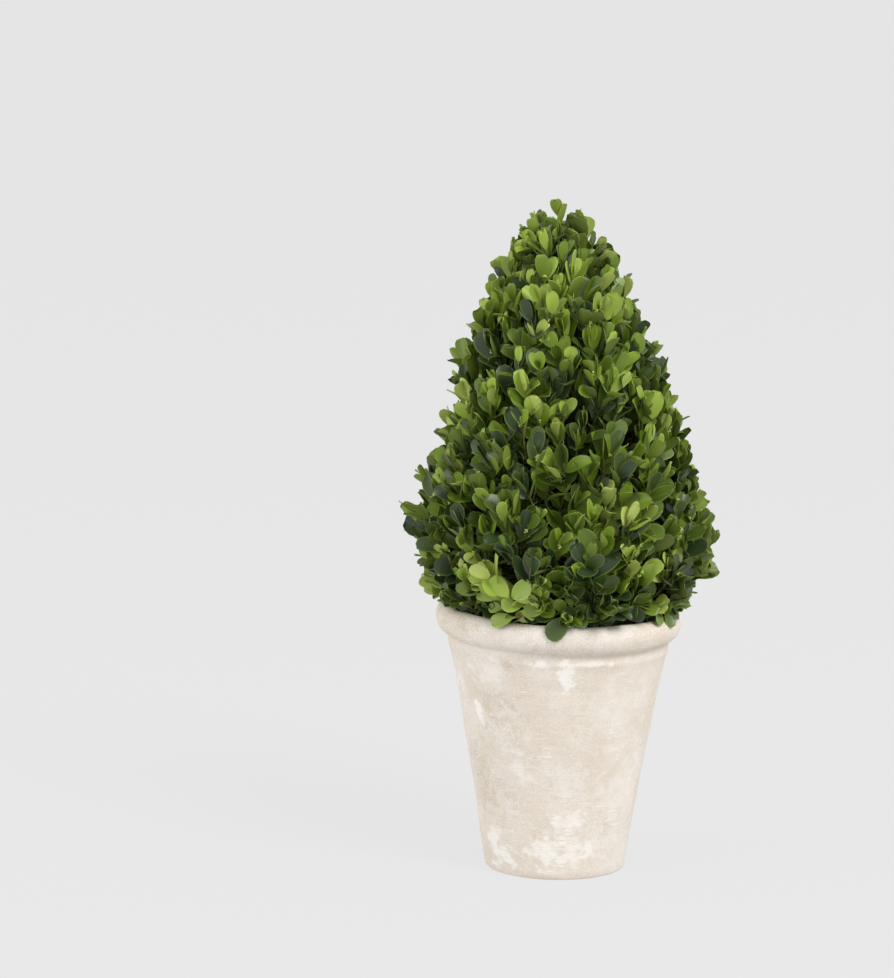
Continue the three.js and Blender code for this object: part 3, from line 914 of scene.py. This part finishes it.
def leaf_faces():
    """Faces of one leaf, and which skin each is on: 0 upper, 1 lower, 2 the pale edge."""
    rows, wide, narrow = len(ROW_SHARES), len(UPPER_COLUMNS), len(LOWER_COLUMNS)
    top_tip = rows * wide
    low = top_tip + 1
    low_tip = low + rows * narrow
    faces, skins = [], []

    def put(face, skin):
        faces.append(face)
        skins.append(skin)

    for r in range(rows - 1):
        for c in range(wide - 1):
            a = r * wide + c
            put((a, a + wide, a + wide + 1, a + 1), 2 if c in (0, wide - 2) else 0)
        for c in range(narrow - 1):
            a = low + r * narrow + c
            put((a, a + 1, a + narrow + 1, a + narrow), 1)
        a, b = r * wide, low + r * narrow
        put((a, b, b + narrow, a + wide), 2)
        a, b = a + wide - 1, b + narrow - 1
        put((a, a + wide, b + narrow, b), 2)
    a, b = (rows - 1) * wide, low + (rows - 1) * narrow
    for c in range(wide - 1):
        put((a + c, top_tip, a + c + 1), 2 if c in (0, wide - 2) else 0)
    for c in range(narrow - 1):
        put((b + c, b + c + 1, low_tip), 1)
    put((a, b, low_tip, top_tip), 2)
    put((a + wide - 1, top_tip, low_tip, b + narrow - 1), 2)
    put(tuple(range(wide)) + tuple(low + c for c in reversed(range(narrow))), 2)
    return faces, skins


LEAF_FACES, LEAF_SKINS = leaf_faces()


def leaf_margins():
    """For each vertex of one leaf, whether it is on the margin of the upper skin, and of the lower."""
    rows = np.arange(len(ROW_SHARES))
    margins = []
    for columns in (len(UPPER_COLUMNS), len(LOWER_COLUMNS)):
        column = np.tile(np.arange(columns), len(rows))
        row = np.repeat(rows, columns)
        margins.append(np.append((row == 0) | (column == 0) | (column == columns - 1), True))
    upper, lower = margins
    blank_upper, blank_lower = np.zeros(len(upper), bool), np.zeros(len(lower), bool)
    return np.concatenate([upper, blank_lower]), np.concatenate([blank_upper, lower])


class Leaves:
    """Leaves as rows of numbers: where each grows from, how it lies, its size, bend and tint."""

    def __init__(self):
        self.rows = []

    def add(self, root, way, upper, length, breadth, tint, cup=None, droop=None):
        cup = rng.normal(0.22, 0.2) if cup is None else cup
        droop = rng.normal(0.05, 0.09) if droop is None else droop
        twist, sweep = rng.normal(0, 0.25), rng.normal(0, 0.06)
        notch = max(0, rng.uniform(-0.05, 0.045))
        self.rows.append((*root, *way, *upper, length, breadth, cup, droop, twist, sweep, notch, tint))

    def tints(self):
        return np.array([row[-1] for row in self.rows], int)

    def shapes(self):
        """Vertices of every leaf, as (leaves, vertices, 3)."""
        rows = np.array(self.rows)
        root, way, upper = rows[:, 0:3], rows[:, 3:6], rows[:, 6:9]
        length, breadth, cup, droop, twist, sweep, notch = rows[:, 9:16].T[:, :, None]
        upper = upper - way * np.sum(upper * way, 1, keepdims=True)
        upper /= np.linalg.norm(upper, axis=1, keepdims=True)
        side = np.cross(upper, way)
        skins = []
        for columns, under in ((UPPER_COLUMNS, 0.0), (LOWER_COLUMNS, 1.0)):
            share = np.append(np.repeat(ROW_SHARES, len(columns)), 0.992)
            across = np.append(np.tile(columns, len(ROW_SHARES)), 0.0)
            half = length * breadth / 2 * blade_half_width(share)
            x = length * (share - notch * (share > 0.97))
            y = across * half + sweep * length * np.clip(share, 0, 1) ** 2
            z = cup * half * np.abs(across) ** 1.35 - droop * length * np.clip(share, 0, 1) ** 2
            z = z + 0.014 * length * np.sin(8 * share + 2 * across + 40 * twist) * np.abs(across)
            z = z - under * LEAF_THICKNESS * (1 - 0.45 * np.abs(across))
            turn = twist * share
            y, z = y * np.cos(turn) - z * np.sin(turn), y * np.sin(turn) + z * np.cos(turn)
            skins.append((x, y, z))
        x, y, z = (np.concatenate([a, b], 1)[:, :, None] for a, b in zip(*skins))
        return root[:, None] + x * way[:, None] + y * side[:, None] + z * upper[:, None]


def clear_of_rim(shapes):
    """Lifts each leaf that would cut into the pot's rim, or droop past it, until it lies on it."""
    x, y, z = shapes[..., 0], shapes[..., 1], shapes[..., 2]
    radius = np.hypot(x, y)
    inner = np.clip((CREST_RADIUS - radius) / (CREST_RADIUS - MOUTH_RADIUS), 0, 1)
    crest = CREST_HEIGHT - RIM_SLOPE * x + 0.0003
    clay = crest - (CREST_HEIGHT - ROLL_WIDEST) * (1 - np.sqrt(1 - inner**2))
    clay = clay + 0.75 * np.clip(radius - ROLL_RADIUS, 0, 1)
    lift = np.where(radius > MOUTH_RADIUS, np.clip(clay - z, 0, 0.03), 0).max(1)
    shapes[..., 2] += lift[:, None]
    return shapes


def leaf_mesh(name, shapes, tints):
    """One mesh of many leaves, with a material number for each face from its leaf's tint and skin."""
    count, each = shapes.shape[:2]
    corners = np.array([v for face in LEAF_FACES for v in face])
    sizes = np.array([len(face) for face in LEAF_FACES])
    loops = (corners[None] + each * np.arange(count)[:, None]).ravel()
    starts = np.concatenate([[0], np.cumsum(np.tile(sizes, count))[:-1]])
    mesh = bpy.data.meshes.new(name)
    mesh.vertices.add(count * each)
    mesh.vertices.foreach_set("co", shapes.astype(np.float32).ravel())
    mesh.loops.add(len(loops))
    mesh.loops.foreach_set("vertex_index", loops.astype(np.int32))
    mesh.polygons.add(len(starts))
    mesh.polygons.foreach_set("loop_start", starts.astype(np.int32))
    by_skin = np.array([
        np.arange(len(UPPER_TINTS)),
        len(UPPER_TINTS) + LOWER_FOR_UPPER,
        len(UPPER_TINTS) + len(LOWER_TINTS) + EDGE_FOR_UPPER,
    ])
    numbers = by_skin[np.array(LEAF_SKINS)[None], tints[:, None]].ravel()
    mesh.polygons.foreach_set("material_index", numbers.astype(np.int32))
    mesh.polygons.foreach_set("use_smooth", [True] * len(starts))
    mesh.update(calc_edges=True)
    ends = np.empty(len(mesh.edges) * 2, np.int32)
    mesh.edges.foreach_get("vertices", ends)
    ends = ends.reshape(-1, 2) % each
    sharp = np.any([margin[ends[:, 0]] & margin[ends[:, 1]] for margin in leaf_margins()], 0)
    mesh.attributes.new("sharp_edge", "BOOLEAN", "EDGE").data.foreach_set("value", sharp)
    return mesh


def leaf_wax(name, colour, roughness, coat):
    return new_material(name, {
        "Base Color": colour,
        "Roughness": roughness,
        "Coat Weight": coat,
        "Coat Roughness": 0.3,
        "Specular IOR Level": 0.45,
    })[0]


LEAF_MATERIALS = (
    [leaf_wax(f"leaf_upper_{i}", tint[0], 0.4 + 0.02 * i, 0.12) for i, tint in enumerate(UPPER_TINTS)]
    + [leaf_wax(f"leaf_under_{i}", colour, 0.58, 0.0) for i, colour in enumerate(LOWER_TINTS)]
    + [leaf_wax(f"leaf_edge_{i}", colour, 0.5, 0.0) for i, colour in enumerate(EDGE_TINTS)]
)

PAIR_GAP = 0.0060  # between one pair of leaves and the next
PAIR_SPREAD = [13, 25, 35, 43, 50]  # degrees between leaf and shoot, from the tip's pair downwards
PAIR_SIZE = [0.74, 0.93, 1.0, 1.0, 0.92]
LOST_LEAVES = 0.09  # the share that the shears took
SHADE_STEPS = [-2, -1, 0, 1, 2]  # from the tint of the shoot to that of a leaf, and how often
SHADE_SHARES = [0.15, 0.19, 0.41, 0.18, 0.07]
OPEN_BUDS = 0.25  # the share of shoots that end in a freshly opened bud
INNER_LEAF_SEED = 5


def leaf_shoot(leaves, tip, way, face, vigour, pairs, tint, roundness):
    """Crossed pairs of leaves down from a shoot's tip. Most turn their upper side out to the light."""
    first = way.cross(Vector((0.31, 0.17, 0.93))).normalized()
    second = way.cross(first)
    phase = rng.uniform(0, math.pi)
    for pair in range(pairs):
        root = tip - way * (0.001 + PAIR_GAP * pair * vigour + rng.uniform(-0.0006, 0.0006))
        for side in (0, math.pi):
            if rng.random() < LOST_LEAVES:
                continue
            around = phase + pair * math.pi / 2 + side + rng.normal(0, 0.3)
            out = first * math.cos(around) + second * math.sin(around)
            lean = math.radians(PAIR_SPREAD[pair] + rng.normal(0, 12))
            flat_out = out - face * out.dot(face) * 0.7
            leaf_way = (way * math.cos(lean) + flat_out * math.sin(lean)).normalized()
            to_light = face * rng.uniform(0.3, 1.3) + Vector((0, 0, 0.3)) - out * rng.uniform(0.0, 0.8)
            upper = to_light - leaf_way * to_light.dot(leaf_way) + Vector(rng.normal(0, 0.14, 3))
            length = LEAF_LENGTH * vigour * PAIR_SIZE[pair] * rng.uniform(0.80, 1.16)
            shade = tint + int(rng.choice(SHADE_STEPS, p=SHADE_SHARES)) + (pair == 0)
            breadth = roundness * rng.uniform(0.86, 1.14)
            shade = min(len(UPPER_TINTS) - 1, max(0, shade))
            leaves.add(root, leaf_way, upper.normalized(), length, breadth, shade)


# Tints go by shoot, with a step up or down from leaf to leaf. Neighbouring shoots often share one,
# because a whole twig ages together.
dealt = np.cumsum([share for _, share in UPPER_TINTS])
outer_leaves, inner_leaves = Leaves(), Leaves()
for tip, way, face in shoot_ends:
    # Shoots in the same patch of the crown tend to the same age. The higher a shoot, the lighter the
    # tint it is dealt, up to a cap: painted light from above on the top of the crown.
    age_and_top_light = 0.03 + 0.2 * noise.noise(tip / 0.028) + 0.6 * max(0, tip.z - 0.3)
    lightest = np.interp(tip.z, [0.30, 0.40], [0.999, 0.90])
    tint = int(np.searchsorted(dealt, min(lightest, max(0, rng.random() + age_and_top_light)) * dealt[-1]))
    low_down = tip.z < 0.184 and math.hypot(tip.x, tip.y) < 0.081
    vigour = float(np.clip(rng.normal(0.82 if low_down else 1.0, 0.13), 0.66, 1.3))
    if way is LEADER_WAY:
        vigour = 1.1
    roundness = rng.uniform(0.42, 0.60) + 0.05 * (tip.z < 0.22)
    leaf_shoot(outer_leaves, tip, way, face, vigour, int(rng.integers(4, 6)), tint, roundness)
    if rng.random() < OPEN_BUDS:
        fresh = min(len(UPPER_TINTS) - 1, tint + 2)
        leaf_shoot(outer_leaves, tip + way * 0.001, way, face, 0.42, 1, fresh, roundness)
rng = np.random.default_rng(INNER_LEAF_SEED)
# The inner leaves are dealt only the two darkest tints: partly older leaves, partly painted shade deep
# inside the crown.
for end, way, face in inner_ends:
    old_and_shaded_tint = int(rng.integers(0, 2))
    leaf_shoot(inner_leaves, end + way * 0.006, way, face, 1.0, 3, old_and_shaded_tint, 0.62)

for name, leaves in (("outer", outer_leaves), ("inner", inner_leaves)):
    shapes = clear_of_rim(leaves.shapes())
    tints = leaves.tints()
    pieces = math.ceil(len(shapes) / LEAVES_IN_A_PIECE)
    for number, part in enumerate(np.array_split(np.arange(len(shapes)), pieces), 1):
        mesh = leaf_mesh(f"{name}_leaves_{number}", shapes[part], tints[part])
        add_piece(mesh.name, mesh, LEAF_MATERIALS, ["crown"])

# ---- the sprigs on the rim ----
# Low twigs escaped the shears and lie over the pot's rim, each with a few short round leaves that
# bend down over the roll. In front hangs one large dark leaf.
# A leaf is: where its stalk starts and where it ends (degrees round, height, radius), breadth, tint.
SPRIGS = {
    "sprig_front": [
        ((-84.7, 0.1760, 0.0735), (-95.1, 0.1648, 0.0800), 0.70, 1),
        ((-82.0, 0.1770, 0.0735), (-72.0, 0.1750, 0.0800), 0.50, 2),
        ((-88.0, 0.1790, 0.0730), (-90.0, 0.1880, 0.0820), 0.62, 3),
    ],
    "sprig_front_left": [
        ((-111.4, 0.1887, 0.0845), (-118.8, 0.2010, 0.0890), 0.64, 5),
        ((-110.8, 0.1889, 0.0850), (-101.6, 0.1983, 0.0895), 0.70, 4),
        ((-116.0, 0.1808, 0.0810), (-122.0, 0.1819, 0.0830), 0.80, 3),
        ((-106.0, 0.1837, 0.0820), (-114.6, 0.1830, 0.0870), 0.66, 4),
        ((-95.0, 0.1855, 0.0800), (-104.4, 0.1790, 0.0840), 0.62, 3),
        ((-111.4, 0.1750, 0.0775), (-122.4, 0.1708, 0.0805), 0.60, 4),
        ((-118.2, 0.1863, 0.0820), (-127.6, 0.1874, 0.0860), 0.36, 4),
        ((-98.6, 0.1866, 0.0820), (-103.8, 0.1920, 0.0860), 0.42, 6),
    ],
    "sprig_right": [
        ((-18.0, 0.1735, 0.0740), (-10.0, 0.1850, 0.0880), 0.76, 0),
        ((-26.0, 0.1725, 0.0735), (-26.5, 0.1640, 0.0800), 0.66, 2),
        ((-28.0, 0.1730, 0.0735), (-38.0, 0.1700, 0.0800), 0.60, 3),
        ((-22.0, 0.1735, 0.0735), (-14.0, 0.1680, 0.0800), 0.60, 1),
    ],
    "sprig_back_right": [
        ((60.0, 0.1745, 0.0735), (61.0, 0.1630, 0.0798), 0.72, 2),
        ((58.0, 0.1745, 0.0735), (50.0, 0.1690, 0.0798), 0.60, 3),
        ((63.0, 0.1745, 0.0735), (72.0, 0.1710, 0.0798), 0.60, 4),
        ((60.0, 0.1765, 0.0745), (66.0, 0.1830, 0.0850), 0.66, 4),
    ],
    "sprig_back_left": [
        ((135.0, 0.1775, 0.0735), (136.0, 0.1680, 0.0800), 0.70, 4),
        ((133.0, 0.1775, 0.0735), (125.0, 0.1720, 0.0800), 0.62, 3),
        ((139.0, 0.1775, 0.0735), (148.0, 0.1730, 0.0800), 0.62, 5),
        ((136.0, 0.1800, 0.0750), (131.0, 0.1880, 0.0860), 0.62, 3),
    ],
}


def hung_on_rim(shapes):
    """Pushes each leaf outwards until the whole of it is clear of the roll."""
    x, y, z = shapes[..., 0], shapes[..., 1], shapes[..., 2] + RIM_SLOPE * shapes[..., 0]
    radius = np.hypot(x, y)
    above = np.clip((z - ROLL_WIDEST) / (CREST_HEIGHT - ROLL_WIDEST), 0, 1)
    below = np.clip((ROLL_WIDEST - z) / (ROLL_WIDEST - ROLL_FOOT), 0, 1)
    upper_clay = CREST_RADIUS + (ROLL_RADIUS - CREST_RADIUS) * np.sqrt(1 - above**2)
    lower_clay = BAND_RADIUS + (ROLL_RADIUS - BAND_RADIUS) * np.sqrt(1 - below**2)
    clay = np.where(z < ROLL_WIDEST, lower_clay, upper_clay)
    push = np.where(z < CREST_HEIGHT + 0.0002, np.clip(clay + 0.0006 - radius, 0, 0.006), 0).max(1)
    way = shapes.mean(1)[:, :2]
    way /= np.linalg.norm(way, axis=1, keepdims=True)
    shapes[..., :2] += (push[:, None] * way)[:, None]
    return shapes


SPRIG_SEED = 31
rng = np.random.default_rng(SPRIG_SEED)
stalks = Limbs()
for name, parts in SPRIGS.items():
    sprig = Leaves()
    for root_place, tip_place, breadth, tint in parts:
        root, end = about_pot(*root_place), about_pot(*tip_place)
        out = Vector((end.x, end.y, 0)).normalized()
        length, way = (end - root).length, (end - root).normalized()
        upper = out + Vector((0, 0, 0.45)) + Vector(rng.normal(0, 0.1, 3))
        upper -= way * upper.dot(way)
        sprig.add(root, way, upper.normalized(), length, breadth, tint, cup=0.1, droop=0.1)
        inner = about_pot(root_place[0] * 0.7 + parts[0][0][0] * 0.3, 0.177, 0.058)
        stalks.add(curved(inner, Vector((0, 0, 0.5)) + out, root, way, 6), 0.0008, 0.0005)
    mesh = leaf_mesh(name, hung_on_rim(sprig.shapes()), sprig.tints())
    add_piece(f"{name}_leaves", mesh, LEAF_MATERIALS, [name])
stalk_values = {"Sides": 6, "Relief": 0.0001, "Bark": young_bark}
made = grown_mesh("stalks", stalks.mesh("stalks"), LIMB_TREE, stalk_values)
add_piece("sprig_stalks", made, [young_bark])

# ---- the flower buds ----
# Boxwood sets its flowers early, as tight yellow-green knots of buds where a leaf joins the shoot.
# Each bud is a small egg, and a few of them make a knot.
BUDDING_SHARE = 0.2  # of the shoots
BUDS_IN_A_KNOT = 7
KNOT_RADIUS = 0.0011
BUD_RADIUS = 0.00062
BUD_TURN_SEED = 9
BUD_SEED = 12


def bud_tree():
    """Sets an egg of its own size and turn at each place."""
    tree, given, result = node_tree_with("knots_of_buds", [
        ("Places", "NodeSocketGeometry"),
        ("Radius", "NodeSocketFloat"),
        ("Seed", "NodeSocketInt"),
        ("Skin", "NodeSocketMaterial"),
    ])
    turn = random_vector(tree, (0, 0, 0), (6.28, 6.28, 6.28), given["Seed"])
    size = random_vector(tree, (0.6, 0.6, 0.9), (0.9, 0.9, 1.5), 4)
    buds = scatter(tree, given["Places"], pebble(tree, given["Radius"]), turn, size)
    finish_tree(tree, buds, given["Skin"], result)
    return tree


rng = np.random.default_rng(BUD_SEED)
places = []
for tip, way, face in shoot_ends:
    if rng.random() > BUDDING_SHARE:
        continue
    knot = tip - way * PAIR_GAP * rng.uniform(0, 1.2) + face * 0.0016
    for _ in range(BUDS_IN_A_KNOT):
        away = Vector(rng.normal(0, 1, 3)).normalized()
        places.append(knot + away * KNOT_RADIUS)
dots = bpy.data.meshes.new("dots")
dots.from_pydata(places, [], [])
bud_skin = leaf_wax("bud_skin", srgb(172, 184, 88), 0.5, 0.1)
bud_values = {"Radius": BUD_RADIUS, "Seed": BUD_TURN_SEED, "Skin": bud_skin}
knots = grown_mesh("flower_buds", dots, bud_tree(), bud_values)
add_piece("flower_buds", knots, [bud_skin])

# ---- the studio ----
# A plain pale floor that runs out past the horizon, soft light from the sky, a large lamp in front on
# the right and a weaker one on the left, and the camera in front, a little above the crown.
FLOOR_HALF = 60.0
floor_mesh = bpy.data.meshes.new("floor")
floor_turns = ((-1, -1), (1, -1), (1, 1), (-1, 1))
floor_corners = [(FLOOR_HALF * x, FLOOR_HALF * y, 0) for x, y in floor_turns]
floor_mesh.from_pydata(floor_corners, [], [(0, 1, 2, 3)])
floor = bpy.data.objects.new("floor", floor_mesh)
floor_paint, _, _ = new_material("floor_paint", {
    "Base Color": (0.06, 0.06, 0.06, 1),
    "Roughness": 0.9,
    "Specular IOR Level": 0.0,
    "Emission Color": (1, 1, 1, 1),
    "Emission Strength": 0.725,
})
floor_mesh.materials.append(floor_paint)
bpy.context.scene.collection.objects.link(floor)
floor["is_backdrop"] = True

world = bpy.data.worlds.new("studio")
world.use_nodes = True
sky = world.node_tree.nodes["Background"]
sky.inputs["Color"].default_value = (1, 1, 1, 1)
sky.inputs["Strength"].default_value = 0.95
bpy.context.scene.world = world


def soft_lamp(name, place, aim, size, power):
    lamp = bpy.data.lights.new(name, "AREA")
    lamp.shape = "DISK"
    lamp.size = size
    lamp.energy = power
    holder = bpy.data.objects.new(name, lamp)
    holder.location = place
    holder.rotation_euler = (Vector(aim) - Vector(place)).to_track_quat("-Z", "Y").to_euler()
    bpy.context.scene.collection.objects.link(holder)


soft_lamp("key", (1.4, -1.5, 2.1), (0, 0, 0.25), 1.2, 50)
soft_lamp("fill", (-2.0, -1.0, 0.9), (0, 0, 0.2), 1.6, 17)

LENS = 154.2
CAMERA_PLACE = Vector((0, -2.643, 0.6587))
PITCH, YAW, ROLL = (math.radians(a) for a in (81.09, 1.575, 0.7))
camera = bpy.data.objects.new("camera", bpy.data.cameras.new("camera"))
camera.data.lens = LENS
camera.data.sensor_width = 36
camera.location = CAMERA_PLACE
turn = Matrix.Rotation(YAW, 3, "Z") @ Matrix.Rotation(PITCH, 3, "X") @ Matrix.Rotation(ROLL, 3, "Z")
camera.rotation_euler = turn.to_euler()
bpy.context.scene.collection.objects.link(camera)
bpy.context.scene.camera = camera
bpy.context.scene.view_settings.view_transform = "Standard"

low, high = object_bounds()
